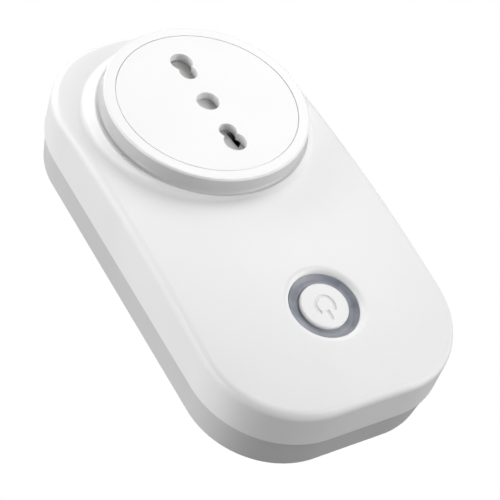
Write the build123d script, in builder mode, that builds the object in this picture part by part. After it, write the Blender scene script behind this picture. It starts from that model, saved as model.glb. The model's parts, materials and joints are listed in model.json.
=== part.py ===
from build123d import *
import os
from math import cos, radians, sin

# Smart plug, plug-through type, for the three-pin in-line standard with 19 mm and 26 mm pin pitches.
# Millimetres. +Z points out of the front, +Y points to the socket end, and the origin is on the earth pin's
# axis, in the plane of the rear face that meets the wall.

# ---- driving dimensions: case ----
case_width = 61.8
case_top_y = 31.5
case_bottom_y = -80.1
corner_radius = 21.8
wall = 2.0
parting_z = 9.5
rear_face_inset = 1.3
rear_side_inset = 0.3
rear_edge_fillet = 0.8
tongue_gap = 0.15
tongue_drop = 2.0
tongue_rise = 1.5

# The front face is a shallow crown: one arc across, one along.
crown_z = 25.0
crown_y = -22.0
crown_across_radius = 182.0
crown_along_radius = 347.0
front_edge_fillet = 2.0

# ---- socket, on the Z axis ----
socket_face_z = 29.5
insert_radius = 21.38
insert_thickness = 2.2
insert_chamfer = 0.25
ring_radius = 24.0
ring_bore_radius = 21.4
ring_spigot_radius = 22.75
ring_spigot_bottom_z = 22.3
ring_ledge_radius = 19.5
ring_edge_radius = 0.35
ring_cove_radius = 0.8
ring_flange_thickness = 0.15
collar_top_radius = 25.0
collar_z = 25.1
collar_edge_radius = 0.6
collar_slope = 74.0
collar_foot_radius = 28.0
collar_foot_z = 20.6
collar_foot_fillet = 2.2
collar_root_radius = 25.6
collar_bottom_z = 20.0
opening_radius = 22.9

# Pins and entries of the standard: 26 mm pitch with 5 mm pins, 19 mm pitch with 4 mm pins
wide_pitch = 26.0
narrow_pitch = 19.0
wide_entry_radius = 2.7
narrow_entry_radius = 2.15
earth_entry_radius = 2.74

# Contact carrier
carrier_radius = 19.3
carrier_bottom_z = 9.0
carrier_clearance = 0.2
carrier_floor = 1.0
carrier_shelf = 0.7
carrier_ear_z = 15.0
carrier_ear_thickness = 2.0
carrier_ear_width = 4.8
pocket_inner_y = 7.0
pocket_outer_y = 16.5
pocket_half_width = 3.4
earth_pocket_radius = 3.5
pin_slot_half_width = 2.9
pin_slot_y = (7.1, 15.8)
spring_channel_half_width = 2.1
tab_hole_clearance = 0.1

# Safety shutter and its spring
shutter_floor_z = 24.0
shutter_top_z = 27.2
shutter_travel = 5.9
shutter_play = 0.2
pad_half_width = 3.1
pad_inner_y = 7.0
pad_outer_y = 15.9
pad_ramp_low_z = 26.3
pad_ramp_top_x = 2.0
earth_pad_half_length = 3.2
earth_pad_ramp_low_z = 27.1
spine_outer_x = 5.6
spine_half_length = 8.5
pad_notch = [(0.9, -8.2), (3.1, -8.2), (3.1, -11.6), (1.35, -13.2)]
peg_radius = 0.8
peg_length = 2.0
spring_axis_z = 25.5
spring_seat_x = 16.6
spring_start_x = 5.85
spring_length = 10.4
spring_pitch = 1.3
spring_radius = 1.2
spring_wire_radius = 0.17

# Contacts behind the entries
contact_top_z = 23.1
contact_bottom_z = 11.0
leaf_gap = 2.55
leaf_thickness = 0.6
leaf_inner_y = 7.3
leaf_outer_y = 16.2
leaf_slit_y = 11.5
leaf_slit_width = 0.4
leaf_slit_bottom_z = 14.0
contact_tab_half_width = 2.0
earth_tab_half_width = 1.0
earth_slit_width = 0.5
earth_slit_bottom_z = 14.5

# ---- rear plug ----
pin_radius = 2.5
pin_length = 19.0
pin_neck_radius = 1.9
pin_tip_height = 1.3
pin_flange_radius = 3.4
pin_stub_radius = 1.5
pin_stub_top_z = 7.2
sleeve_length = 9.0
shoulder_radius = 2.9
plug_insert_radius = 17.5
plug_flange_radius = 19.0
plug_flange_top_z = 3.0
plug_opening_radius = 17.6

# ---- busbars ----
busbar_z = 4.0
busbar_thickness = 0.8
output_bar_z = 7.2
neutral_bar_x = (12.0, 15.0)
line_bar_x = (-2.0, 2.0)
output_bar_x = (-12.0, -9.0)
bar_step_y = (-20.8, -20.0)
bar_end_y = -25.5
output_step_y = (-22.4, -21.6)
output_end_y = -23.8
pin_plate_half_width = 3.2
neutral_plate_high_y = 17.0
output_plate_y = (-18.0, -15.4)

# ---- button, light ring and switch ----
# The button and its light ring share a plane that follows the crown.
button_y = -56.14
button_x = 0.4
button_rim_z = 23.34
button_tilt = 7.0
button_radius = 5.66
button_recess = 1.1
button_travel = 0.5
button_edge_fillet = 0.5
button_flange_radius = 6.8
button_flange_top = 4.15
button_flange_thickness = 0.85
button_stem_radius = 1.5
button_stem_length = 0.6
light_ring_radius = 8.05
light_ring_gap = 0.06
light_ring_top = 1.35
light_ring_bore = 5.85
light_ring_depth = 1.65
light_ring_brow = (7.0, 1.43)
light_ring_foot = 4.0
light_ring_foot_radius = 7.4
light_ring_flange_radius = 9.4
light_ring_flange_top = 2.9
light_ring_flange_bottom = 3.6
light_hole_fillet = 1.5
symbol_radius = 2.2
symbol_stroke = 0.9
symbol_gap_angle = 112.0
symbol_bar_top = 1.2
symbol_bar_bottom = 3.8
symbol_depth = 0.3
symbol_edge_fillet = 0.22
switch_body_half = 3.0
switch_body_top_z = 16.9
switch_well_radius = 1.85
plunger_radius = 1.75
plunger_bottom_z = 16.0
plunger_gap = 0.14

# ---- boards ----
board_thickness = 1.6
main_board_z = 4.2
main_board_width = 52.0
main_board_low_y = -76.0
main_board_high_y = -22.5
main_board_gap = 0.5
control_board_z = 12.2
control_board_top = 13.4
control_board_y = -54.75
control_board_size = (26.0, 27.5)
control_board_corner = 1.5

# ---- screws: places, shank and hole radii, then head radius and height ----
case_screw_x = 20.5
case_screw_top_y = 20.5
case_screw_bottom_y = -69.0
case_screw_seat_z = 3.2
case_screw_radius = 1.25
case_screw_head = (2.4, 1.8)
case_screw_length = 12.3
case_well_radius = 2.6
case_screw_hole_depth = 6.5
case_post_radius = 3.5
front_post_radius = 2.7
carrier_screw_x = 24.5
carrier_screw_radius = 1.0
carrier_screw_head = (1.9, 1.6)
carrier_screw_length = 4.8
carrier_post_radius = 2.4
main_board_screws = [(22.0, -24.6), (6.0, -73.0)]
control_board_screws = [(-10.3, -43.5), (10.3, -66.0)]
board_screw_radius = 0.9
main_board_screw_head = (1.8, 1.4)
main_board_screw_length = 4.5
control_board_screw_head = (1.7, 1.3)
control_board_screw_length = 5.0
screw_hole_clearance = 0.15
main_board_post_radius = 2.5
main_board_hole_floor = 1.2
control_board_post_radius = 2.2

# ---- parts on the boards: middle of the foot (x, y), then size or radius and height ----
relay_at = (-17.25, -32.25)
relay_size = (18.5, 15.5, 14.0)
film_capacitor_at = (17.75, -30.25)
film_capacitor_size = (13.5, 5.5, 11.0)
bridge_at = (8.2, -40.25)
bridge_size = (6.4, 4.5, 2.5)
chip_at = (0.0, -52.0)
chip_size = (5.0, 4.0, 1.6)
header_at = (0.0, -63.75)
header_size = (10.2, 2.5, 6.4)
fuse_at = (4.5, -31.0)
fuse_radius = 4.2
fuse_height = 7.5
inductor_at = (19.5, -60.5)
inductor_radius = 3.8
inductor_height = 8.5
varistor_at = (18.5, -38.0)
varistor_radius = 5.2
varistor_thickness = 3.6
varistor_middle_z = 12.0
varistor_lead_x = 2.5
varistor_lead_width = 0.7
varistor_lead_height = 3.2
bulk_capacitors_at = [(-19.5, -48.5), (-19.5, -58.0)]
output_capacitor_at = [(-8.0, -72.5)]
transformer_at = (19.5, -49.5)
core_size = (12.0, 6.0, 11.0)
core_window = (2.9, 6.0, 7.4)
core_window_x = 3.15
winding_size = (9.0, 11.6)
winding_height = 7.2
wifi_board_low = (-8.0, -58.0)
wifi_board_high = (8.0, -42.5)
wifi_board_z = 11.4
wifi_shield_low = (-6.5, -57.0)
wifi_shield_high = (6.5, -47.0)
wifi_shield_z = 9.0
led_ring_radius = 7.05
led_count = 4
led_height = 0.8

# ---- values worked out from them ----
case_length = case_top_y - case_bottom_y
case_middle_y = (case_top_y + case_bottom_y) / 2
button_tilt_sin = sin(radians(button_tilt))
button_tilt_cos = cos(radians(button_tilt))
button_plane = Plane(
    origin=(button_x, button_y, button_rim_z), x_dir=(1, 0, 0), z_dir=(0, -button_tilt_sin, button_tilt_cos)
)
button_axis = Axis(button_plane.origin, button_plane.z_dir)
insert_back_z = socket_face_z - insert_thickness
carrier_top_z = insert_back_z - carrier_clearance
carrier_post_z = carrier_ear_z + carrier_ear_thickness
pocket_floor_z = carrier_bottom_z + carrier_floor
pocket_top_z = shutter_floor_z - carrier_shelf
leaf_outer = leaf_gap + leaf_thickness
bar_top = busbar_z + busbar_thickness
main_board_top = main_board_z + board_thickness
landing_top = main_board_top + busbar_thickness
case_screw_points = [
    (side * case_screw_x, y) for side in (-1, 1) for y in (case_screw_top_y, case_screw_bottom_y)
]
carrier_screw_points = [(-carrier_screw_x, 0), (carrier_screw_x, 0)]
live_pin_points = [(0, -wide_pitch / 2), (0, wide_pitch / 2)]

os.makedirs("parts", exist_ok=True)


def save(sub_part, name):
    """Label a finished sub-part and write it to its own STEP file."""
    sub_part.part.label = name
    export_step(sub_part.part, f"parts/{name}.step")


def case_outline(inset, mode=Mode.ADD):
    """Rounded-rectangle outline of the case, drawn into the sketch that is open."""
    width = case_width - 2 * inset
    length = case_length - 2 * inset
    with Locations((0, case_middle_y)):
        RectangleRounded(width, length, corner_radius - inset, mode=mode)


def crowned_block(inset, drop, bottom_z):
    """Solid under the crown: the outline moved in by inset, its top lowered by drop, from bottom_z up."""
    axis_z = crown_z - crown_along_radius
    far_z = axis_z - crown_along_radius + drop
    half = case_width
    edge_z = far_z + crown_across_radius - (crown_across_radius**2 - half**2) ** 0.5
    band = 30.0
    with BuildPart() as block:
        with BuildSketch(Plane.XZ.offset(-crown_y)):
            with BuildLine():
                ThreePointArc((-half, edge_z), (0, far_z), (half, edge_z))
                Polyline((half, edge_z), (half, far_z + band), (-half, far_z + band), (-half, edge_z))
            make_face()
        revolve(axis=Axis((0, crown_y, axis_z), (1, 0, 0)))
        with BuildSketch(Plane.XY.offset(bottom_z)):
            case_outline(inset)
        extrude(amount=band, mode=Mode.INTERSECT)
    return block.part


def posts_to_crown(points, radius, bottom_z):
    """Round posts that rise from bottom_z into the front cover's wall."""
    with BuildPart() as posts:
        with BuildSketch(Plane.XY.offset(bottom_z)):
            with Locations(*points):
                Circle(radius)
        extrude(amount=crown_z - bottom_z)
        add(crowned_block(wall / 2, wall / 2, bottom_z), mode=Mode.INTERSECT)
    return posts.part


def round_holes(points, radius, from_z, depth):
    """Round holes cut upwards from from_z into the part that is open."""
    with BuildSketch(Plane.XY.offset(from_z)) as section:
        with Locations(*points):
            Circle(radius)
    extrude(section.sketch, amount=depth, mode=Mode.SUBTRACT)


def round_posts(points, radius, from_z, to_z):
    """Round posts, or round blocks, added to the part that is open."""
    with BuildSketch(Plane.XY.offset(from_z)) as section:
        with Locations(*points):
            Circle(radius)
    extrude(section.sketch, amount=to_z - from_z)


def box_between(low, high, mode=Mode.ADD):
    """Box from its lowest corner to its highest corner."""
    size = [b - a for a, b in zip(low, high)]
    middle = tuple((a + b) / 2 for a, b in zip(low, high))
    with Locations(middle):
        Box(*size, mode=mode)


def box_on_side(side, x_span, y_span, z_span, mode=Mode.ADD):
    """Box whose y span is measured from the origin towards +Y (side 1) or towards -Y (side -1)."""
    near_y, far_y = sorted((side * y_span[0], side * y_span[1]))
    box_between((x_span[0], near_y, z_span[0]), (x_span[1], far_y, z_span[1]), mode)


def screw_set(points, seat_z, direction, head, shank_radius, length):
    """Cross-recessed screws: the head's underside is at seat_z and the shank runs in direction from it."""
    head_radius, head_height = head
    outer_z = seat_z - direction * head_height
    with BuildPart() as screws:
        with BuildSketch(Plane.XY.offset(seat_z)):
            with Locations(*points):
                Circle(head_radius)
        extrude(amount=-direction * head_height)
        with BuildSketch(Plane.XY.offset(seat_z)):
            with Locations(*points):
                Circle(shank_radius)
        extrude(amount=direction * length)
        with BuildSketch(Plane.XY.offset(outer_z)):
            with Locations(*points):
                Rectangle(1.2 * head_radius, 0.25 * head_radius)
                Rectangle(0.25 * head_radius, 1.2 * head_radius)
        extrude(amount=direction * head_height / 2, mode=Mode.SUBTRACT)
    return screws


# ---- case ----
with BuildPart() as front_cover:
    add(crowned_block(0, 0, parting_z))
    crown_face = front_cover.faces().sort_by(Axis.Z)[-1]
    fillet(crown_face.edges(), front_edge_fillet)
    add(crowned_block(wall, wall, parting_z), mode=Mode.SUBTRACT)
    # Hole for the light ring, with a soft edge
    with BuildSketch(button_plane.offset(-light_ring_flange_radius)):
        Circle(light_ring_radius + light_ring_gap)
    extrude(amount=2 * light_ring_flange_radius, mode=Mode.SUBTRACT)
    hole_wall = front_cover.faces().filter_by(GeomType.CYLINDER).sort_by_distance(button_plane.origin)[0]
    fillet(hole_wall.edges().sort_by(Axis.Z)[-1], light_hole_fillet)
    # Raised collar round the socket, blended into the crown
    with BuildSketch(Plane.XZ):
        with BuildLine():
            # The brow turns from level to collar_slope, and the flare runs on from it
            brow_start = (collar_top_radius, collar_z)
            brow_end = (
                collar_top_radius + collar_edge_radius * sin(radians(collar_slope)),
                collar_z - collar_edge_radius * (1 - cos(radians(collar_slope))),
            )
            foot = (collar_foot_radius, collar_foot_z)
            downhill = (cos(radians(collar_slope)), -sin(radians(collar_slope)))
            TangentArc(brow_start, brow_end, tangent=(1, 0))
            TangentArc(brow_end, foot, tangent=downhill)
            Polyline(
                foot, (collar_root_radius, collar_bottom_z), (opening_radius, collar_bottom_z),
                (opening_radius, collar_z), brow_start,
            )
        make_face()
    revolve(axis=Axis.Z)
    foot_edges = front_cover.edges().filter_by(GeomType.BSPLINE)
    fillet(foot_edges.sort_by_distance((0, collar_foot_radius, collar_foot_z + 1))[0], collar_foot_fillet)
    round_holes([(0, 0)], opening_radius, parting_z, crown_z)
    # Screw posts for the case, the contact carrier and the control board
    add(posts_to_crown(case_screw_points, front_post_radius, parting_z))
    add(posts_to_crown(carrier_screw_points, carrier_post_radius, carrier_post_z))
    add(posts_to_crown(control_board_screws, control_board_post_radius, control_board_top))
    round_holes(case_screw_points, case_screw_radius, parting_z, case_screw_hole_depth)
    round_holes(carrier_screw_points, carrier_screw_radius, carrier_post_z, carrier_screw_length)
    round_holes(control_board_screws, board_screw_radius, control_board_top, control_board_screw_length)
save(front_cover, "front_cover")

with BuildPart() as rear_cover:
    with BuildSketch(Plane.XY):
        case_outline(rear_face_inset)
    with BuildSketch(Plane.XY.offset(parting_z)):
        case_outline(rear_side_inset)
    loft()
    with BuildSketch(Plane.XY.offset(wall)):
        case_outline(rear_face_inset + wall)
    extrude(amount=parting_z, mode=Mode.SUBTRACT)
    fillet(rear_cover.faces().sort_by(Axis.Z)[0].edges(), rear_edge_fillet)
    # Tongue that locates inside the front cover
    with BuildSketch(Plane.XY.offset(parting_z - tongue_drop)):
        case_outline(wall + tongue_gap)
        case_outline(rear_face_inset + wall, Mode.SUBTRACT)
    extrude(amount=tongue_drop + tongue_rise)
    # Posts for the case screws and the main board, then their holes and the opening for the plug insert
    round_posts(case_screw_points, case_post_radius, wall, parting_z)
    round_posts(main_board_screws, main_board_post_radius, wall, main_board_z)
    round_holes(case_screw_points, case_well_radius, 0, case_screw_seat_z)
    round_holes(case_screw_points, case_screw_radius + screw_hole_clearance, 0, parting_z)
    round_holes(main_board_screws, board_screw_radius, main_board_hole_floor, main_board_z)
    round_holes([(0, 0)], plug_opening_radius, 0, wall)
save(rear_cover, "rear_cover")

case_screws = screw_set(
    case_screw_points, case_screw_seat_z, 1, case_screw_head, case_screw_radius, case_screw_length
)
save(case_screws, "case_screws")

# ---- socket ----
with BuildPart() as socket_ring:
    with BuildSketch(Plane.XZ):
        with BuildLine():
            flange_z = collar_z + ring_flange_thickness
            cove_z = flange_z + ring_cove_radius
            ring_foot = ring_radius + ring_cove_radius
            brow = (ring_radius - ring_edge_radius, socket_face_z)
            shoulder = (ring_radius, socket_face_z - ring_edge_radius)
            Line((ring_bore_radius, socket_face_z), brow)
            RadiusArc(brow, shoulder, ring_edge_radius)
            Line(shoulder, (ring_radius, cove_z))
            RadiusArc((ring_radius, cove_z), (ring_foot, flange_z), -ring_cove_radius)
            Polyline(
                (ring_foot, flange_z), (ring_foot, collar_z), (ring_spigot_radius, collar_z),
                (ring_spigot_radius, ring_spigot_bottom_z), (ring_ledge_radius, ring_spigot_bottom_z),
                (ring_ledge_radius, insert_back_z), (ring_bore_radius, insert_back_z),
                (ring_bore_radius, socket_face_z),
            )
        make_face()
    revolve(axis=Axis.Z)
save(socket_ring, "socket_ring")

with BuildPart() as socket_insert:
    with BuildSketch(Plane.XY.offset(insert_back_z)):
        Circle(insert_radius)
    extrude(amount=insert_thickness)
    # Earth entry, then the two live entries: each a wide and a narrow hole run together
    with BuildSketch(Plane.XY.offset(insert_back_z)):
        Circle(earth_entry_radius)
        with Locations((0, -wide_pitch / 2), (0, wide_pitch / 2)):
            Circle(wide_entry_radius)
        with Locations((0, -narrow_pitch / 2), (0, narrow_pitch / 2)):
            Circle(narrow_entry_radius)
    extrude(amount=insert_thickness, mode=Mode.SUBTRACT)
    rim = socket_insert.edges().filter_by(GeomType.CIRCLE).group_by(Axis.Z)[-1].sort_by(SortBy.RADIUS)[-1]
    chamfer(rim, insert_chamfer)
save(socket_insert, "socket_insert")

with BuildPart() as contact_carrier:
    round_posts([(0, 0)], carrier_radius, carrier_bottom_z, carrier_top_z)
    # Ears for the two screws
    with BuildSketch(Plane.XY.offset(carrier_ear_z)):
        SlotCenterToCenter(2 * carrier_screw_x, carrier_ear_width)
    extrude(amount=carrier_ear_thickness)
    ear_hole_radius = carrier_screw_radius + screw_hole_clearance
    round_holes(carrier_screw_points, ear_hole_radius, carrier_ear_z, carrier_ear_thickness)
    # Guide recess for the shutter and its spring
    recess_low_x = -pad_half_width - shutter_play
    pad_high_x = pad_half_width + shutter_travel + shutter_play
    spine_high_x = spine_outer_x + shutter_travel + shutter_play
    recess_z = (shutter_floor_z, carrier_top_z)
    pad_recess_y = (pad_inner_y - shutter_play, pad_outer_y + shutter_play)
    spine_recess_y = (0, spine_half_length + shutter_play)
    for side in (-1, 1):
        box_on_side(side, (recess_low_x, pad_high_x), pad_recess_y, recess_z, Mode.SUBTRACT)
        box_on_side(side, (recess_low_x, spine_high_x), spine_recess_y, recess_z, Mode.SUBTRACT)
    box_between(
        (0, -spring_channel_half_width, shutter_floor_z),
        (spring_seat_x, spring_channel_half_width, carrier_top_z), Mode.SUBTRACT,
    )
    # Pockets for the live contacts, open to the recess through the pin slots, with a hole for each tab
    for side in (-1, 1):
        pocket_x = (-pocket_half_width, pocket_half_width)
        slot_x = (-pin_slot_half_width, pin_slot_half_width)
        tab_half_width = contact_tab_half_width + tab_hole_clearance
        tab_x = (-tab_half_width, tab_half_width)
        tab_y = (leaf_outer_y - leaf_thickness - tab_hole_clearance, leaf_outer_y + tab_hole_clearance)
        pocket_y = (pocket_inner_y, pocket_outer_y)
        box_on_side(side, pocket_x, pocket_y, (pocket_floor_z, pocket_top_z), Mode.SUBTRACT)
        box_on_side(side, slot_x, pin_slot_y, (pocket_top_z, shutter_floor_z), Mode.SUBTRACT)
        box_on_side(side, tab_x, tab_y, (carrier_bottom_z, pocket_floor_z), Mode.SUBTRACT)
    # Pocket for the earth contact
    round_holes([(0, 0)], earth_pocket_radius, pocket_floor_z, pocket_top_z - pocket_floor_z)
    round_holes([(0, 0)], pin_slot_half_width, pocket_top_z, shutter_floor_z - pocket_top_z)
    earth_tab_half = earth_tab_half_width + tab_hole_clearance
    box_between(
        (-earth_tab_half, -leaf_gap - leaf_thickness - tab_hole_clearance, carrier_bottom_z),
        (earth_tab_half, -leaf_gap + tab_hole_clearance, pocket_floor_z), Mode.SUBTRACT,
    )
save(contact_carrier, "contact_carrier")

carrier_screws = screw_set(
    carrier_screw_points, carrier_ear_z, 1, carrier_screw_head, carrier_screw_radius, carrier_screw_length
)
save(carrier_screws, "carrier_screws")

# ---- safety shutter: three ramped pads joined by a spine, pushed back by a coil spring ----
with BuildPart() as safety_shutter:
    pad_bottom_z = shutter_floor_z + 0.05
    live_pad_y = (pad_inner_y + pad_outer_y) / 2
    live_pad_half_length = (pad_outer_y - pad_inner_y) / 2
    # Middle, half length and low end of the ramp of each pad; the live pins do the pushing
    pads = [
        (-live_pad_y, live_pad_half_length, pad_ramp_low_z),
        (0, earth_pad_half_length, earth_pad_ramp_low_z),
        (live_pad_y, live_pad_half_length, pad_ramp_low_z),
    ]
    for middle_y, half_length, ramp_low_z in pads:
        with BuildSketch(Plane.XZ.offset(-middle_y)):
            Polygon(
                (-pad_half_width, pad_bottom_z), (pad_half_width, pad_bottom_z),
                (pad_half_width, shutter_top_z), (pad_ramp_top_x, shutter_top_z),
                (-pad_half_width, ramp_low_z), align=None,
            )
        extrude(amount=half_length, both=True)
    box_between(
        (pad_half_width, -spine_half_length, pad_bottom_z), (spine_outer_x, spine_half_length, shutter_top_z)
    )
    # Slanted notch in the lower pad
    with BuildSketch(Plane.XY.offset(shutter_floor_z)):
        Polygon(*pad_notch, align=None)
    extrude(amount=shutter_top_z - shutter_floor_z, mode=Mode.SUBTRACT)
    # Peg that holds the spring
    with BuildSketch(Plane.YZ.offset(spine_outer_x)):
        with Locations((0, spring_axis_z)):
            Circle(peg_radius)
    extrude(amount=peg_length)
save(safety_shutter, "safety_shutter")

with BuildPart() as shutter_spring:
    with BuildLine() as coil:
        Helix(
            pitch=spring_pitch, height=spring_length, radius=spring_radius,
            center=(spring_start_x, 0, spring_axis_z), direction=(1, 0, 0),
        )
    with BuildSketch(Plane(origin=coil.line @ 0, z_dir=coil.line % 0)):
        Circle(spring_wire_radius)
    sweep(path=coil.line, is_frenet=True)
save(shutter_spring, "shutter_spring")


# ---- contacts of the socket ----
def live_contact(side):
    """Twin spring leaves joined by a web, with a tab to the busbar; serves both pin pitches."""
    tab_bottom = bar_top if side > 0 else output_bar_z + busbar_thickness
    leaf_z = (contact_bottom_z, contact_top_z)
    web_y = (leaf_outer_y - leaf_thickness, leaf_outer_y)
    slit_y = (leaf_slit_y - leaf_slit_width / 2, leaf_slit_y + leaf_slit_width / 2)
    with BuildPart() as contact:
        box_on_side(side, (leaf_gap, leaf_outer), (leaf_inner_y, leaf_outer_y), leaf_z)
        box_on_side(side, (-leaf_outer, -leaf_gap), (leaf_inner_y, leaf_outer_y), leaf_z)
        box_on_side(side, (-leaf_outer, leaf_outer), web_y, leaf_z)
        box_on_side(
            side, (-contact_tab_half_width, contact_tab_half_width), web_y, (tab_bottom, contact_bottom_z)
        )
        # Slit that splits each leaf into a finger for each pitch
        box_on_side(side, (-4, 4), slit_y, (leaf_slit_bottom_z, contact_top_z), Mode.SUBTRACT)
    return contact


line_contact = live_contact(-1)
save(line_contact, "line_contact")
neutral_contact = live_contact(1)
save(neutral_contact, "neutral_contact")

with BuildPart() as earth_contact:
    with BuildSketch(Plane.XY.offset(contact_bottom_z)):
        Circle(leaf_outer)
        Circle(leaf_gap, mode=Mode.SUBTRACT)
    extrude(amount=contact_top_z - contact_bottom_z)
    # Crossed slits that make four fingers
    half = earth_slit_width / 2
    box_between((-5, -half, earth_slit_bottom_z), (5, half, contact_top_z), Mode.SUBTRACT)
    box_between((-half, -5, earth_slit_bottom_z), (half, 5, contact_top_z), Mode.SUBTRACT)
    box_between(
        (-earth_tab_half_width, -leaf_outer, bar_top),
        (earth_tab_half_width, -leaf_gap, contact_bottom_z + 0.5),
    )
save(earth_contact, "earth_contact")

# ---- rear plug ----
with BuildPart() as plug_insert:
    round_posts([(0, 0)], plug_insert_radius, 0, wall)
    round_posts([(0, 0)], plug_flange_radius, wall, plug_flange_top_z)
    round_holes([(0, 0)] + live_pin_points, shoulder_radius, 0, plug_flange_top_z)
save(plug_insert, "plug_insert")


def plug_pin(y, sleeved):
    """Solid brass pin with a rounded tip, a flange inside the case and a stub for the busbar."""
    tip_shoulder = (pin_radius, pin_tip_height - pin_length)
    with BuildPart() as pin:
        with BuildSketch(Plane.YZ):
            with BuildLine():
                ThreePointArc((0, -pin_length), (pin_radius * 0.8, 0.35 - pin_length), tip_shoulder)
                Polyline(
                    tip_shoulder, (pin_radius, 0), (shoulder_radius, 0),
                    (shoulder_radius, plug_flange_top_z), (pin_flange_radius, plug_flange_top_z),
                    (pin_flange_radius, busbar_z), (pin_stub_radius, busbar_z),
                    (pin_stub_radius, pin_stub_top_z), (0, pin_stub_top_z), (0, -pin_length),
                )
            make_face()
        revolve(axis=Axis.Z)
        if sleeved:
            with BuildSketch(Plane.XY.offset(-sleeve_length)):
                Circle(pin_flange_radius)
                Circle(pin_neck_radius, mode=Mode.SUBTRACT)
            extrude(amount=sleeve_length + plug_flange_top_z, mode=Mode.SUBTRACT)
    pin.part.locate(Location((0, y, 0)))
    return pin


line_pin = plug_pin(-wide_pitch / 2, True)
save(line_pin, "line_pin")
neutral_pin = plug_pin(wide_pitch / 2, True)
save(neutral_pin, "neutral_pin")
earth_pin = plug_pin(0, False)
save(earth_pin, "earth_pin")

with BuildPart() as pin_sleeves:
    round_posts(live_pin_points, pin_radius, -sleeve_length, 0)
    round_posts(live_pin_points, shoulder_radius, 0, plug_flange_top_z)
    round_holes(live_pin_points, pin_neck_radius, -sleeve_length, sleeve_length + plug_flange_top_z)
save(pin_sleeves, "pin_sleeves")

# ---- busbars: each runs in the rear cover, steps up and lands on the main board ----
with BuildPart() as neutral_busbar:
    low_x, high_x = neutral_bar_x
    step_low_y, step_high_y = bar_step_y
    plate_low_y = wide_pitch / 2 - pin_plate_half_width
    box_between((-pin_plate_half_width, plate_low_y, busbar_z), (high_x, neutral_plate_high_y, bar_top))
    box_between((low_x, step_high_y, busbar_z), (high_x, plate_low_y, bar_top))
    box_between((low_x, step_low_y, busbar_z), (high_x, step_high_y, landing_top))
    box_between((low_x, bar_end_y, main_board_top), (high_x, step_low_y, landing_top))
    round_holes([(0, wide_pitch / 2)], pin_stub_radius, busbar_z, busbar_thickness)
save(neutral_busbar, "neutral_busbar")

with BuildPart() as line_input_busbar:
    low_x, high_x = line_bar_x
    plate_high_y = pin_plate_half_width - wide_pitch / 2
    box_between(
        (-pin_plate_half_width, step_high_y, busbar_z), (pin_plate_half_width, plate_high_y, bar_top)
    )
    box_between((low_x, step_low_y, busbar_z), (high_x, step_high_y, landing_top))
    box_between((low_x, bar_end_y, main_board_top), (high_x, step_low_y, landing_top))
    round_holes([(0, -wide_pitch / 2)], pin_stub_radius, busbar_z, busbar_thickness)
save(line_input_busbar, "line_input_busbar")

# The output bar crosses above the pin's stub, under the tab of the line contact
with BuildPart() as line_output_busbar:
    low_x, high_x = output_bar_x
    plate_low_y, plate_high_y = output_plate_y
    step_low_y, step_high_y = output_step_y
    output_bar_top = output_bar_z + busbar_thickness
    box_between((low_x, plate_low_y, output_bar_z), (pin_plate_half_width, plate_high_y, output_bar_top))
    box_between((low_x, step_high_y, output_bar_z), (high_x, plate_low_y, output_bar_top))
    box_between((low_x, step_low_y, landing_top), (high_x, step_high_y, output_bar_top))
    box_between((low_x, output_end_y, main_board_top), (high_x, step_high_y, landing_top))
save(line_output_busbar, "line_output_busbar")

with BuildPart() as earth_strap:
    with BuildSketch(Plane.XY.offset(busbar_z)):
        SlotCenterToCenter(3.0, 6.0, rotation=90)
        Circle(pin_stub_radius, mode=Mode.SUBTRACT)
    extrude(amount=busbar_thickness)
save(earth_strap, "earth_strap")

# ---- button, light ring and switch ----
with BuildPart() as light_ring:
    section_plane = Plane(origin=button_plane.origin, x_dir=(1, 0, 0), z_dir=button_plane.y_dir * -1)
    with BuildSketch(section_plane):
        with BuildLine():
            # Top rounded over towards the button, then the bore, the foot and the flange under the cover
            rim = (light_ring_radius, -light_ring_top)
            lip = (light_ring_bore, -light_ring_depth)
            brow_radius, brow_depth = light_ring_brow
            ThreePointArc(rim, (brow_radius, -brow_depth), lip)
            Polyline(
                lip, (light_ring_bore, -light_ring_foot), (light_ring_foot_radius, -light_ring_foot),
                (light_ring_foot_radius, -light_ring_flange_bottom),
                (light_ring_flange_radius, -light_ring_flange_bottom),
                (light_ring_flange_radius, -light_ring_flange_top),
                (light_ring_radius, -light_ring_flange_top), rim,
            )
        make_face()
    revolve(axis=button_axis)
save(light_ring, "light_ring")

with BuildPart() as power_button:
    flange_bottom = button_flange_top + button_flange_thickness
    with BuildSketch(button_plane.offset(-button_flange_top)):
        Circle(button_radius)
    extrude(amount=button_flange_top - button_recess)
    fillet(power_button.edges().sort_by(Axis.Z)[-1], button_edge_fillet)
    with BuildSketch(button_plane.offset(-flange_bottom)):
        Circle(button_flange_radius)
    extrude(amount=button_flange_thickness)
    with BuildSketch(button_plane.offset(-flange_bottom - button_stem_length)):
        Circle(button_stem_radius)
    extrude(amount=button_stem_length)
    fillet(power_button.edges().sort_by(Axis.Z)[0], 0.4)
    # Power symbol, engraved: a ring open towards the lower end, with a bar in the gap
    with BuildSketch(button_plane.offset(-button_recess - symbol_depth)):
        arc_start = symbol_gap_angle / 2 - 90
        arc_end = 270 - symbol_gap_angle / 2
        SlotArc(Edge.make_circle(symbol_radius, start_angle=arc_start, end_angle=arc_end), symbol_stroke)
        with Locations((0, -(symbol_bar_top + symbol_bar_bottom) / 2)):
            SlotOverall(symbol_bar_bottom - symbol_bar_top, symbol_stroke, rotation=90)
    extrude(amount=2 * symbol_depth, mode=Mode.SUBTRACT)
    top_face = power_button.faces().filter_by(GeomType.PLANE).sort_by(button_axis)[-1]
    symbol_edges = [edge for wire in top_face.inner_wires() for edge in wire.edges()]
    fillet(symbol_edges, symbol_edge_fillet)
save(power_button, "power_button")

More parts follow.
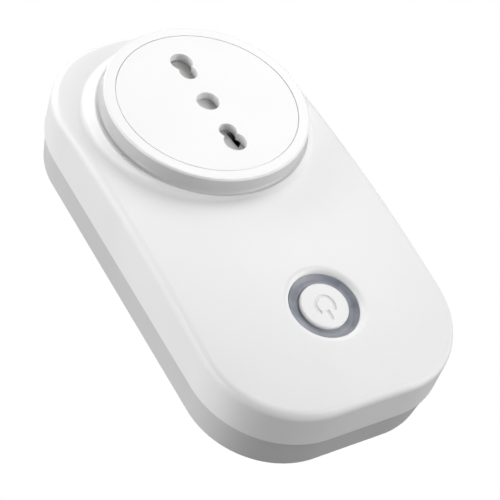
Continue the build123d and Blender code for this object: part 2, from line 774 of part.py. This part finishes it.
stem_reach = button_flange_top + button_flange_thickness + button_stem_length
switch_y = button_y + stem_reach * button_tilt_sin
plunger_top_z = button_rim_z - stem_reach * button_tilt_cos - plunger_gap
with BuildPart() as tact_switch_body:
    box_between(
        (button_x - switch_body_half, switch_y - switch_body_half, control_board_top),
        (button_x + switch_body_half, switch_y + switch_body_half, switch_body_top_z),
    )
    well_floor_z = plunger_bottom_z - button_travel - 0.2
    round_holes([(button_x, switch_y)], switch_well_radius, well_floor_z, switch_body_top_z - well_floor_z)
save(tact_switch_body, "tact_switch_body")

with BuildPart() as tact_switch_plunger:
    round_posts([(button_x, switch_y)], plunger_radius, plunger_bottom_z, plunger_top_z)
save(tact_switch_plunger, "tact_switch_plunger")

# ---- control board ----
with BuildPart() as control_board:
    with BuildSketch(Plane.XY.offset(control_board_z)):
        with Locations((0, control_board_y)):
            RectangleRounded(*control_board_size, control_board_corner)
        with Locations(*control_board_screws):
            Circle(board_screw_radius + screw_hole_clearance, mode=Mode.SUBTRACT)
    extrude(amount=control_board_top - control_board_z)
save(control_board, "control_board")

with BuildPart() as wifi_module:
    box_between((*wifi_board_low, wifi_board_z), (*wifi_board_high, control_board_z))
    box_between((*wifi_shield_low, wifi_shield_z), (*wifi_shield_high, wifi_board_z))
save(wifi_module, "wifi_module")

with BuildPart() as status_leds:
    with BuildSketch(Plane.XY.offset(control_board_top)):
        with Locations((button_x, button_y)):
            with PolarLocations(led_ring_radius, led_count, start_angle=45):
                Rectangle(1.2, 2.0)
    extrude(amount=led_height)
save(status_leds, "status_leds")


# ---- main board ----
def block_on_board(at, size):
    """Box that stands on the main board with the middle of its foot at (x, y)."""
    with Locations((at[0], at[1], main_board_top + size[2] / 2)):
        Box(*size)


def can_capacitor(points, radius, height):
    """Upright electrolytic capacitors: aluminium cans with a rounded top and a crimp near the base."""
    with BuildPart() as cans:
        round_posts(points, radius, main_board_top, main_board_top + height)
        fillet(cans.faces().group_by(Axis.Z)[-1].edges(), 0.5)
        with BuildSketch(Plane.XY.offset(main_board_top + 1.4)):
            with Locations(*points):
                Circle(radius)
                Circle(radius - 0.3, mode=Mode.SUBTRACT)
        extrude(amount=0.6, mode=Mode.SUBTRACT)
    return cans


with BuildPart() as main_board:
    with BuildSketch(Plane.XY.offset(main_board_z)):
        case_outline(rear_face_inset + wall + main_board_gap)
        with Locations((0, (main_board_low_y + main_board_high_y) / 2)):
            Rectangle(main_board_width, main_board_high_y - main_board_low_y, mode=Mode.INTERSECT)
        with Locations(*case_screw_points):
            Circle(case_post_radius + main_board_gap, mode=Mode.SUBTRACT)
        with Locations(*main_board_screws):
            Circle(board_screw_radius + screw_hole_clearance, mode=Mode.SUBTRACT)
    extrude(amount=board_thickness)
save(main_board, "main_board")

with BuildPart() as board_screws:
    main_set = screw_set(
        main_board_screws, main_board_top, -1, main_board_screw_head, board_screw_radius,
        main_board_screw_length,
    )
    control_set = screw_set(
        control_board_screws, control_board_z, 1, control_board_screw_head, board_screw_radius,
        control_board_screw_length,
    )
    add(main_set.part)
    add(control_set.part)
save(board_screws, "board_screws")

with BuildPart() as board_header:
    block_on_board(header_at, header_size)
save(board_header, "board_header")

with BuildPart() as relay:
    block_on_board(relay_at, relay_size)
    fillet(relay.edges().filter_by(Axis.Z), 0.8)
    chamfer(relay.faces().sort_by(Axis.Z)[-1].edges(), 0.5)
save(relay, "relay")

with BuildPart() as fuse:
    round_posts([fuse_at], fuse_radius, main_board_top, main_board_top + fuse_height)
    fillet(fuse.faces().sort_by(Axis.Z)[-1].edges(), 0.5)
save(fuse, "fuse")

with BuildPart() as film_capacitor:
    block_on_board(film_capacitor_at, film_capacitor_size)
    fillet(film_capacitor.faces().sort_by(Axis.Z)[-1].edges(), 0.4)
save(film_capacitor, "film_capacitor")

with BuildPart() as varistor:
    with BuildSketch(Plane.XZ.offset(-varistor_at[1])):
        with Locations((varistor_at[0], varistor_middle_z)):
            Circle(varistor_radius)
    extrude(amount=varistor_thickness / 2, both=True)
    fillet(varistor.edges().filter_by(GeomType.CIRCLE), 1.0)
    for side in (-1, 1):
        lead_x = varistor_at[0] + side * varistor_lead_x
        with Locations((lead_x, varistor_at[1], main_board_top + varistor_lead_height / 2)):
            Box(varistor_lead_width, varistor_lead_width, varistor_lead_height)
save(varistor, "varistor")

bulk_capacitors = can_capacitor(bulk_capacitors_at, 4.0, 12.0)
save(bulk_capacitors, "bulk_capacitors")
output_capacitor = can_capacitor(output_capacitor_at, 3.15, 11.0)
save(output_capacitor, "output_capacitor")

with BuildPart() as transformer_core:
    core_middle_z = main_board_top + core_size[2] / 2
    with Locations((*transformer_at, core_middle_z)):
        Box(*core_size)
    for side in (-1, 1):
        with Locations((transformer_at[0] + side * core_window_x, transformer_at[1], core_middle_z)):
            Box(*core_window, mode=Mode.SUBTRACT)
save(transformer_core, "transformer_core")

with BuildPart() as transformer_winding:
    with BuildSketch(Plane.XY.offset(core_middle_z - winding_height / 2)):
        with Locations(transformer_at):
            RectangleRounded(*winding_size, 1.5)
            Rectangle(3.5, 6.1, mode=Mode.SUBTRACT)
    extrude(amount=winding_height)
save(transformer_winding, "transformer_winding")

with BuildPart() as inductor:
    round_posts([inductor_at], inductor_radius, main_board_top, main_board_top + inductor_height)
    fillet(inductor.faces().sort_by(Axis.Z)[-1].edges(), 0.4)
save(inductor, "inductor")

with BuildPart() as bridge_rectifier:
    block_on_board(bridge_at, bridge_size)
save(bridge_rectifier, "bridge_rectifier")

with BuildPart() as controller_chip:
    block_on_board(chip_at, chip_size)
save(controller_chip, "controller_chip")
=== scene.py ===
import json
import math

import bmesh
import bpy
from mathutils import Matrix, Vector


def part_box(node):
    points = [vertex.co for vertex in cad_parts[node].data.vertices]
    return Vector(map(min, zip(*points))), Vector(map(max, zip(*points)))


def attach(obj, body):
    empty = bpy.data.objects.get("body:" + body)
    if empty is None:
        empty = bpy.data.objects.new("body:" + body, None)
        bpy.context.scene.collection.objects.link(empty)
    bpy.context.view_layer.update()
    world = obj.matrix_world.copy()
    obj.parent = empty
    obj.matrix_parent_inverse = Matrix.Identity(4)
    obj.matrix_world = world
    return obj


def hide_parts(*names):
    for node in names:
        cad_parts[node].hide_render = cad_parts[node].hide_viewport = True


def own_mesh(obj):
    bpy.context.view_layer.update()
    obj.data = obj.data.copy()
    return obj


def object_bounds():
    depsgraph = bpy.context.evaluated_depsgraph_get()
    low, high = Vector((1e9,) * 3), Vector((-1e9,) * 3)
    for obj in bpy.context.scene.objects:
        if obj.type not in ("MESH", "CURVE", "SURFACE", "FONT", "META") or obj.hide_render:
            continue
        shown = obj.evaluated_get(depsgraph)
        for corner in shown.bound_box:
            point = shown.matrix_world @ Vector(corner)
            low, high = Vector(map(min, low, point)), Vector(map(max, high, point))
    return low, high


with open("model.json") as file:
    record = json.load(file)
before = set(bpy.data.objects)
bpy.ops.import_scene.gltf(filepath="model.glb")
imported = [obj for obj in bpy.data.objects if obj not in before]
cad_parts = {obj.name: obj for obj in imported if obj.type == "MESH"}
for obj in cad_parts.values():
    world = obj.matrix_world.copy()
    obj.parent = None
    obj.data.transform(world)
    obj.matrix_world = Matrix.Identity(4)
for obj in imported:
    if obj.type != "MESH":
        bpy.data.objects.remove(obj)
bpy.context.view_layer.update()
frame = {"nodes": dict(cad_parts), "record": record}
nodes = frame["nodes"]
MM = 0.001

# ---------------------------------------------------------------- camera
CAMERA_AZIMUTH = 45.32      # degrees from +Y towards +X, the way the camera looks
CAMERA_ELEVATION = 46.91    # degrees above the horizon
CAMERA_ROLL = 20.9          # degrees, anticlockwise
CAMERA_DISTANCE = 386.2 * MM
CAMERA_AIM = Vector((-3.06, -32.45, 15.0)) * MM
LENS = 124.8                # mm
SENSOR_WIDTH = 36.0         # mm


def add_camera():
    """The camera, set back from its aim along the way it looks."""
    azimuth = math.radians(CAMERA_AZIMUTH)
    elevation = math.radians(CAMERA_ELEVATION)
    forward = Vector((
        math.sin(azimuth) * math.cos(elevation),
        math.cos(azimuth) * math.cos(elevation),
        -math.sin(elevation),
    ))
    right = forward.cross(Vector((0, 0, 1))).normalized()
    up = right.cross(forward)
    roll = math.radians(CAMERA_ROLL)
    right, up = (
        right * math.cos(roll) + up * math.sin(roll),
        up * math.cos(roll) - right * math.sin(roll),
    )
    turn = Matrix((right, up, -forward)).transposed()
    data = bpy.data.cameras.new("camera")
    data.lens = LENS
    data.sensor_width = SENSOR_WIDTH
    camera = bpy.data.objects.new("camera", data)
    camera.matrix_world = Matrix.Translation(CAMERA_AIM - forward * CAMERA_DISTANCE) @ turn.to_4x4()
    bpy.context.scene.collection.objects.link(camera)
    bpy.context.scene.camera = camera


# ---------------------------------------------------------------- materials
IOR = 1.5
NOISE_SPAN = (0.3, 0.7)     # the stretch of a noise value that colour and gloss run over
FLOW_SCALE = 45.0           # flow marks in moulded plastic, about 2 cm across
MOULD_TEXTURE = 3600.0      # fine spark-eroded texture
FLOW_GLOSS = (0.92, 1.08)   # how far the flow marks change the roughness
STREAK_GLOSS = (0.7, 1.3)   # and how far the streaks in metal do
FLOW_SHADE = 0.98           # how dark the flow marks are in the plastic with the painted shade band
SHADE_BLEND = 0.15 * MM      # half the height over which the top tone meets the painted shade
RING_SHADE_DROP = 0.55 * MM       # how far below its top the socket ring's side is painted darker grey as shade


def blank(name, roughness, metallic=0.0):
    """A material with one Principled shader; its node tree is given back with it."""
    material = bpy.data.materials.new(name)
    material.use_nodes = True
    shader = material.node_tree.nodes["Principled BSDF"]
    shader.inputs["Roughness"].default_value = roughness
    shader.inputs["Metallic"].default_value = metallic
    shader.inputs["IOR"].default_value = IOR
    return material, material.node_tree, shader


def place(tree, scale=(1, 1, 1)):
    """Object coordinates, stretched by scale."""
    coordinates = tree.nodes.new("ShaderNodeTexCoord")
    mapping = tree.nodes.new("ShaderNodeMapping")
    mapping.inputs["Scale"].default_value = scale
    tree.links.new(coordinates.outputs["Object"], mapping.inputs["Vector"])
    return mapping.outputs["Vector"]


def noise(tree, where, scale, detail=3.0, distortion=0.0):
    texture = tree.nodes.new("ShaderNodeTexNoise")
    texture.inputs["Scale"].default_value = scale
    texture.inputs["Detail"].default_value = detail
    texture.inputs["Distortion"].default_value = distortion
    tree.links.new(where, texture.inputs["Vector"])
    return texture.outputs["Fac"]


def ramp(tree, value, stops):
    """Colour ramp; stops lists (position, (r, g, b))."""
    node = tree.nodes.new("ShaderNodeValToRGB")
    elements = node.color_ramp.elements
    while len(elements) < len(stops):
        elements.new(0.5)
    for element, (position, color) in zip(elements, stops):
        element.position = position
        element.color = (*color, 1)
    tree.links.new(value, node.inputs["Fac"])
    return node.outputs["Color"]


def spread(tree, value, low, high):
    """The noise value run between low and high."""
    node = tree.nodes.new("ShaderNodeMapRange")
    node.inputs["From Min"].default_value = NOISE_SPAN[0]
    node.inputs["From Max"].default_value = NOISE_SPAN[1]
    node.inputs["To Min"].default_value = low
    node.inputs["To Max"].default_value = high
    tree.links.new(value, node.inputs["Value"])
    return node.outputs["Result"]


def between(tree, value, low, high):
    """The noise value as a colour between two."""
    return ramp(tree, value, [(NOISE_SPAN[0], low), (NOISE_SPAN[1], high)])


def grain(tree, shader, value, strength, distance=0.02 * MM):
    """Fine relief from a noise value."""
    bump = tree.nodes.new("ShaderNodeBump")
    bump.inputs["Strength"].default_value = strength
    bump.inputs["Distance"].default_value = distance
    tree.links.new(value, bump.inputs["Height"])
    tree.links.new(bump.outputs["Normal"], shader.inputs["Normal"])


def gloss_marks(tree, shader, value, roughness, spans):
    """Roughness that runs a little below and above its mean."""
    low, high = (roughness * span for span in spans)
    tree.links.new(spread(tree, value, low, high), shader.inputs["Roughness"])


def moulded(name, color, shade, roughness, texture=MOULD_TEXTURE, strength=0.15):
    """Moulded plastic: a fine spark-eroded texture, with faint flow marks in colour and gloss."""
    material, tree, shader = blank(name, roughness)
    where = place(tree)
    flow = noise(tree, where, FLOW_SCALE, 2.0, 0.6)
    fine = noise(tree, where, texture, 2.0)
    tree.links.new(between(tree, flow, shade, color), shader.inputs["Base Color"])
    gloss_marks(tree, shader, flow, roughness, FLOW_GLOSS)
    grain(tree, shader, fine, strength)
    return material


def painted_shade_below(name, face, side, roughness, level):
    """Moulded plastic in one tone above the given height, and below it a greyer tone painted on as shade.
    """
    material, tree, shader = blank(name, roughness)
    where = place(tree)
    flow = noise(tree, where, FLOW_SCALE, 2.0, 0.6)
    height = tree.nodes.new("ShaderNodeSeparateXYZ")
    tree.links.new(where, height.inputs["Vector"])
    shade_band = tree.nodes.new("ShaderNodeMapRange")
    shade_band.inputs["From Min"].default_value = level - SHADE_BLEND
    shade_band.inputs["From Max"].default_value = level + SHADE_BLEND
    tree.links.new(height.outputs["Z"], shade_band.inputs["Value"])
    mix = tree.nodes.new("ShaderNodeMix")
    mix.data_type = "RGBA"
    tree.links.new(shade_band.outputs["Result"], mix.inputs["Factor"])
    # Below the level, the side tone is painted shade: a darker grey where the ring's side is in shade.
    for tone, socket in ((side, "A"), (face, "B")):
        tree.links.new(between(tree, flow, [FLOW_SHADE * c for c in tone], tone), mix.inputs[socket])
    tree.links.new(mix.outputs["Result"], shader.inputs["Base Color"])
    gloss_marks(tree, shader, flow, roughness, FLOW_GLOSS)
    grain(tree, shader, noise(tree, where, MOULD_TEXTURE, 2.0), 0.15)
    return material


def metal(name, color, shade, roughness, stretch=(1, 1, 1), strength=0.2):
    """Worked metal: streaks along the grain, in colour, gloss and relief."""
    material, tree, shader = blank(name, roughness, 1.0)
    where = place(tree, stretch)
    streak = noise(tree, where, 900.0, 4.0)
    tarnish = noise(tree, where, 160.0, 3.0, 1.0)
    tree.links.new(ramp(tree, tarnish, [(0.32, shade), (0.62, color)]), shader.inputs["Base Color"])
    gloss_marks(tree, shader, streak, roughness, STREAK_GLOSS)
    grain(tree, shader, streak, strength, 0.01 * MM)
    return material


def smoky_light_guide(name):
    """Tinted plastic of the light ring: smoky grey-blue with a fine matt texture."""
    material, tree, shader = blank(name, 0.42)
    where = place(tree)
    cloud = noise(tree, where, 170.0, 4.0, 1.2)
    smoke = between(tree, cloud, (0.22, 0.235, 0.28), (0.33, 0.345, 0.39))
    tree.links.new(smoke, shader.inputs["Base Color"])
    tree.links.new(spread(tree, cloud, 0.38, 0.48), shader.inputs["Roughness"])
    grain(tree, shader, noise(tree, where, 1500.0), 0.08)
    return material


def circuit_board(name):
    """Solder mask over copper tracks, with pale pads."""
    material, tree, shader = blank(name, 0.35)
    where = place(tree)
    tracks = tree.nodes.new("ShaderNodeTexBrick")
    tracks.inputs["Scale"].default_value = 160.0
    tracks.inputs["Mortar Size"].default_value = 0.035
    tracks.inputs["Color1"].default_value = (0.02, 0.16, 0.06, 1)
    tracks.inputs["Color2"].default_value = (0.025, 0.19, 0.07, 1)
    tracks.inputs["Mortar"].default_value = (0.05, 0.30, 0.10, 1)
    tree.links.new(where, tracks.inputs["Vector"])
    pads = tree.nodes.new("ShaderNodeTexVoronoi")
    pads.inputs["Scale"].default_value = 300.0
    pads.inputs["Randomness"].default_value = 0.35
    tree.links.new(where, pads.inputs["Vector"])
    mask = ramp(tree, pads.outputs["Distance"], [(0.12, (1, 1, 1)), (0.16, (0, 0, 0))])
    mix = tree.nodes.new("ShaderNodeMix")
    mix.data_type = "RGBA"
    mix.inputs["B"].default_value = (0.62, 0.60, 0.55, 1)
    tree.links.new(mask, mix.inputs["Factor"])
    tree.links.new(tracks.outputs["Color"], mix.inputs["A"])
    tree.links.new(mix.outputs["Result"], shader.inputs["Base Color"])
    grain(tree, shader, tracks.outputs["Fac"], 0.4)
    return material


def make_materials():
    """Every material, by the name of its slot in the record, and the socket ring's own."""
    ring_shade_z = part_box("socket_ring")[1][2] - RING_SHADE_DROP
    return {
        "case_white": moulded("case_white", (0.868, 0.868, 0.868), (0.85, 0.85, 0.852), 0.42),
        # The rear cover is painted a darker grey than the case (0.66 against 0.868): painted shade of the
        # lower shell.
        "rear_white": moulded("rear_white", (0.66, 0.66, 0.665), (0.64, 0.64, 0.645), 0.46),
        "socket_white": moulded("socket_white", (0.85, 0.85, 0.85), (0.835, 0.835, 0.835), 0.36),
        # The socket ring's side below its top edge is painted a darker grey (0.56): painted shade.
        "ring_painted_shade": painted_shade_below("ring_painted_shade", (0.875, 0.875, 0.875), (0.56, 0.56, 0.565), 0.38, ring_shade_z),
        "button_white": moulded("button_white", (0.88, 0.88, 0.885), (0.87, 0.87, 0.875), 0.32, 4800, 0.1),
        "shutter_grey": moulded("shutter_grey", (0.74, 0.74, 0.73), (0.70, 0.70, 0.69), 0.5),
        "carrier_plastic": moulded("carrier_plastic", (0.24, 0.215, 0.19), (0.19, 0.17, 0.15), 0.5),
        "sleeve_black": moulded("sleeve_black", (0.018, 0.018, 0.02), (0.012, 0.012, 0.013), 0.38),
        "black_plastic": moulded("black_plastic", (0.02, 0.02, 0.022), (0.012, 0.012, 0.013), 0.45),
        "led_lens": moulded("led_lens", (0.80, 0.80, 0.68), (0.70, 0.70, 0.58), 0.12),
        "relay_case": moulded("relay_case", (0.03, 0.10, 0.36), (0.022, 0.08, 0.30), 0.35),
        "film_yellow": moulded("film_yellow", (0.72, 0.48, 0.03), (0.62, 0.40, 0.02), 0.35),
        "varistor_coat": moulded("varistor_coat", (0.03, 0.11, 0.32), (0.02, 0.08, 0.25), 0.3, 1200, 0.4),
        "ferrite": moulded("ferrite", (0.035, 0.035, 0.038), (0.02, 0.02, 0.022), 0.65, 2000, 0.5),
        "winding_tape": moulded("winding_tape", (0.70, 0.55, 0.08), (0.58, 0.44, 0.05), 0.4, 1200, 0.3),
        "contact_brass": metal("contact_brass", (0.78, 0.56, 0.25), (0.55, 0.38, 0.17), 0.3, (1, 1, 0.1)),
        "pin_nickel": metal("pin_nickel", (0.76, 0.70, 0.55), (0.60, 0.53, 0.39), 0.36, (1, 1, 0.04)),
        "busbar_copper": metal("busbar_copper", (0.80, 0.42, 0.24), (0.52, 0.24, 0.14), 0.32, (0.1, 1, 1)),
        "screw_steel": metal("screw_steel", (0.66, 0.66, 0.65), (0.46, 0.46, 0.45), 0.3, (1, 1, 0.2)),
        "spring_steel": metal("spring_steel", (0.56, 0.56, 0.57), (0.38, 0.38, 0.39), 0.28),
        "module_shield": metal("module_shield", (0.70, 0.70, 0.69), (0.55, 0.55, 0.54), 0.3, (0.1, 1, 1)),
        "capacitor_can": metal("capacitor_can", (0.12, 0.13, 0.18), (0.06, 0.065, 0.10), 0.3, (1, 1, 0.1)),
        "light_guide": smoky_light_guide("light_guide"),
        "circuit_board": circuit_board("circuit_board"),
    }


# ---------------------------------------------------------------- pieces made here
SPRING_WIRE = 0.17 * MM
SPRING_CLOSED_TURNS = 1.25      # turns that lie against each other at each end
SPRING_OPEN_TURNS = 6.5
POINTS_PER_TURN = 40
CLOSED_PITCH = 2.1              # wire radii from one closed turn to the next


def round_section(bm, center, normal, side, radius, count):
    """Ring of vertices round center, in the plane of normal and side."""
    return [
        bm.verts.new(center + radius * (math.cos(a) * normal + math.sin(a) * side))
        for a in (2 * math.pi * k / count for k in range(count))
    ]


def tube(name, points, radius, count=10):
    """Closed round tube along points, with flat ends."""
    bm = bmesh.new()
    rings = []
    up = Vector((0, 0, 1))
    last = len(points) - 1
    for i, point in enumerate(points):
        along = (points[min(i + 1, last)] - points[max(i - 1, 0)]).normalized()
        side = along.cross(up).normalized()
        up = side.cross(along).normalized()
        rings.append(round_section(bm, point, up, side, radius, count))
    for ring_a, ring_b in zip(rings, rings[1:]):
        for k in range(count):
            bm.faces.new((ring_a[k], ring_a[(k + 1) % count], ring_b[(k + 1) % count], ring_b[k]))
    bm.faces.new(rings[0][::-1])
    bm.faces.new(rings[-1])
    bmesh.ops.recalc_face_normals(bm, faces=bm.faces)
    mesh = bpy.data.meshes.new(name)
    bm.to_mesh(mesh)
    bm.free()
    for face in mesh.polygons:
        face.use_smooth = True
    piece = bpy.data.objects.new(name, mesh)
    bpy.context.scene.collection.objects.link(piece)
    return piece


def coil_height(turn, closed, turns, wire, length):
    """How far along the coil a turn lies: the end turns lie close, the middle ones are spread."""
    pitch = CLOSED_PITCH * wire
    middle = turns - 2 * closed
    if turn < closed:
        return turn * pitch
    if turn > turns - closed:
        return length - (turns - turn) * pitch
    return closed * pitch + (turn - closed) / middle * (length - 2 * closed * pitch)


def add_shutter_spring():
    """Wire coil in place of the spring's plain solid."""
    low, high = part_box("shutter_spring")
    axis_y = (low[1] + high[1]) / 2
    axis_z = (low[2] + high[2]) / 2
    radius = (high[2] - low[2]) / 2 - SPRING_WIRE
    start = low[0] + SPRING_WIRE
    length = high[0] - low[0] - 2 * SPRING_WIRE
    turns = SPRING_OPEN_TURNS + 2 * SPRING_CLOSED_TURNS
    points = []
    for i in range(int(turns * POINTS_PER_TURN) + 1):
        turn = i / POINTS_PER_TURN
        x = start + coil_height(turn, SPRING_CLOSED_TURNS, turns, SPRING_WIRE, length)
        angle = 2 * math.pi * turn
        points.append(Vector((x, axis_y + radius * math.cos(angle), axis_z + radius * math.sin(angle))))
    spring = tube("shutter_spring_coil", points, SPRING_WIRE)
    spring.data.materials.append(materials["spring_steel"])
    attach(spring, "case")
    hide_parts("shutter_spring")
    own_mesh(spring)


# Light ring: radii, and depths below the button plane, in mm
RING_RADIUS = 8.05
RING_BORE = 5.74
RING_TOP = 1.35
RING_FOOT = (7.4, 4.0)
FLANGE_RADIUS = 9.4
FLANGE_DEPTHS = (2.9, 3.6)
# The ring's top is a shallow trough, deepest near the button.
RING_TROUGH = [(7.9, 1.4), (7.55, 1.62), (7.1, 1.85), (6.6, 1.98), (6.1, 1.95), (5.8, 1.82)]
BORE_LIP = 1.9
RING_SECTION = [
    (RING_RADIUS, RING_TOP), *RING_TROUGH, (RING_BORE, BORE_LIP), (RING_BORE, RING_FOOT[1]), RING_FOOT,
    (RING_FOOT[0], FLANGE_DEPTHS[1]), (FLANGE_RADIUS, FLANGE_DEPTHS[1]),
    (FLANGE_RADIUS, FLANGE_DEPTHS[0]), (RING_RADIUS, FLANGE_DEPTHS[0]),
]
BUTTON_TILT = 7.0               # degrees, towards -Y
BUTTON_XY = (0.4 * MM, -56.14 * MM)
SMOOTH_ANGLE = 40               # degrees; sharper edges stay sharp


def lathe(name, section, center, axis, count=160):
    """Closed ring of the section turned round the axis."""
    bm = bmesh.new()
    side = Vector((1, 0, 0))
    up = axis.cross(side)
    rows = []
    for k in range(count):
        angle = 2 * math.pi * k / count
        out = math.cos(angle) * side + math.sin(angle) * up
        rows.append([bm.verts.new(center + radius * out - depth * axis) for radius, depth in section])
    for row_a, row_b in zip(rows, rows[1:] + rows[:1]):
        for i in range(len(section)):
            j = (i + 1) % len(section)
            bm.faces.new((row_a[i], row_a[j], row_b[j], row_b[i]))
    bmesh.ops.recalc_face_normals(bm, faces=bm.faces)
    mesh = bpy.data.meshes.new(name)
    bm.to_mesh(mesh)
    bm.free()
    piece = bpy.data.objects.new(name, mesh)
    bpy.context.scene.collection.objects.link(piece)
    mesh.shade_smooth()
    mesh.set_sharp_from_angle(angle=math.radians(SMOOTH_ANGLE))
    return piece


def add_light_ring():
    """Light ring with a troughed top, in place of the nearly flat CAD one."""
    tilt = math.radians(BUTTON_TILT)
    axis = Vector((0, -math.sin(tilt), math.cos(tilt)))
    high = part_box("light_ring")[1]
    # The CAD ring's highest point fixes the height of the button plane
    section = [(radius * MM, depth * MM) for radius, depth in RING_SECTION]
    reach = max(radius * math.sin(tilt) - depth * math.cos(tilt) for radius, depth in section)
    center = Vector((*BUTTON_XY, high[2] - reach))
    ring = lathe("light_ring_dish", section, center, axis)
    ring.data.materials.append(materials["light_guide"])
    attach(ring, "case")
    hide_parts("light_ring")


# ---------------------------------------------------------------- stage and light
FLOOR_DROP = 60 * MM            # from the pins' ends down to the floor
FLOOR_HALF = 3.0                # half its side, in metres
LAMP_AIM = Vector((0, -25, 10)) * MM
LAMP_DISTANCE = 1.3             # metres
LAMP_SIZE = 0.8                 # metres across
LAMP_POWER = 8.0
KEY_POWER = 9.0
FILL_POWER = 2.5
# Soft lamps stand round the left, the back and the right, with a weak fill from below.
# Name, azimuth (degrees from +X towards +Y), elevation and power
LAMPS = [
    ("key_left", 180, 12, KEY_POWER),
    ("back_left", 135, 12, LAMP_POWER),
    ("back", 90, 12, LAMP_POWER),
    ("back_right", 45, 45, LAMP_POWER),
    ("right_high", -45, 45, LAMP_POWER),
    ("right_low", -45, 12, LAMP_POWER),
    ("fill_below", 180, -35, FILL_POWER),
]


def add_floor():
    """Pale floor that shines evenly, takes no shadow and doesn't light the object."""
    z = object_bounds()[0][2] - FLOOR_DROP
    half = FLOOR_HALF
    mesh = bpy.data.meshes.new("floor")
    corners = [(-half, -half, z), (half, -half, z), (half, half, z), (-half, half, z)]
    mesh.from_pydata(corners, [], [(0, 1, 2, 3)])
    floor = bpy.data.objects.new("floor", mesh)
    bpy.context.scene.collection.objects.link(floor)
    material, _, shader = blank("floor", 0.9)
    shader.inputs["Base Color"].default_value = (0, 0, 0, 1)
    shader.inputs["Specular IOR Level"].default_value = 0
    shader.inputs["Emission Color"].default_value = (1, 1, 1, 1)
    shader.inputs["Emission Strength"].default_value = 1.0
    floor.data.materials.append(material)
    floor.visible_diffuse = False
    floor.visible_glossy = False
    floor.visible_transmission = False
    floor.visible_shadow = False


def add_lamp(name, azimuth, elevation, power):
    """Round soft lamp that looks at the object from the given direction."""
    azimuth = math.radians(azimuth)
    elevation = math.radians(elevation)
    out = Vector((
        math.cos(azimuth) * math.cos(elevation),
        math.sin(azimuth) * math.cos(elevation),
        math.sin(elevation),
    ))
    data = bpy.data.lights.new(name, "AREA")
    data.shape = "DISK"
    data.size = LAMP_SIZE
    data.energy = power
    lamp = bpy.data.objects.new(name, data)
    turn = (-out).to_track_quat("-Z", "Y").to_matrix().to_4x4()
    lamp.matrix_world = Matrix.Translation(LAMP_AIM + out * LAMP_DISTANCE) @ turn
    bpy.context.scene.collection.objects.link(lamp)


def add_lights():
    """The lamps, in surroundings that give no light."""
    world = bpy.data.worlds.new("studio")
    world.use_nodes = True
    background = world.node_tree.nodes["Background"]
    background.inputs["Strength"].default_value = 0
    bpy.context.scene.world = world
    for lamp in LAMPS:
        add_lamp(*lamp)
    bpy.context.scene.view_settings.view_transform = "Standard"


# ---------------------------------------------------------------- put together
materials = make_materials()
for entry in frame["record"]["subparts"]:
    piece = nodes[entry["node"]]
    piece.data.materials.clear()
    piece.data.materials.append(materials[entry["material_slot"]])
# The socket ring gets its own material, with painted shade on its side.
nodes["socket_ring"].data.materials[0] = materials["ring_painted_shade"]

add_shutter_spring()
add_light_ring()

add_camera()
add_floor()
add_lights()
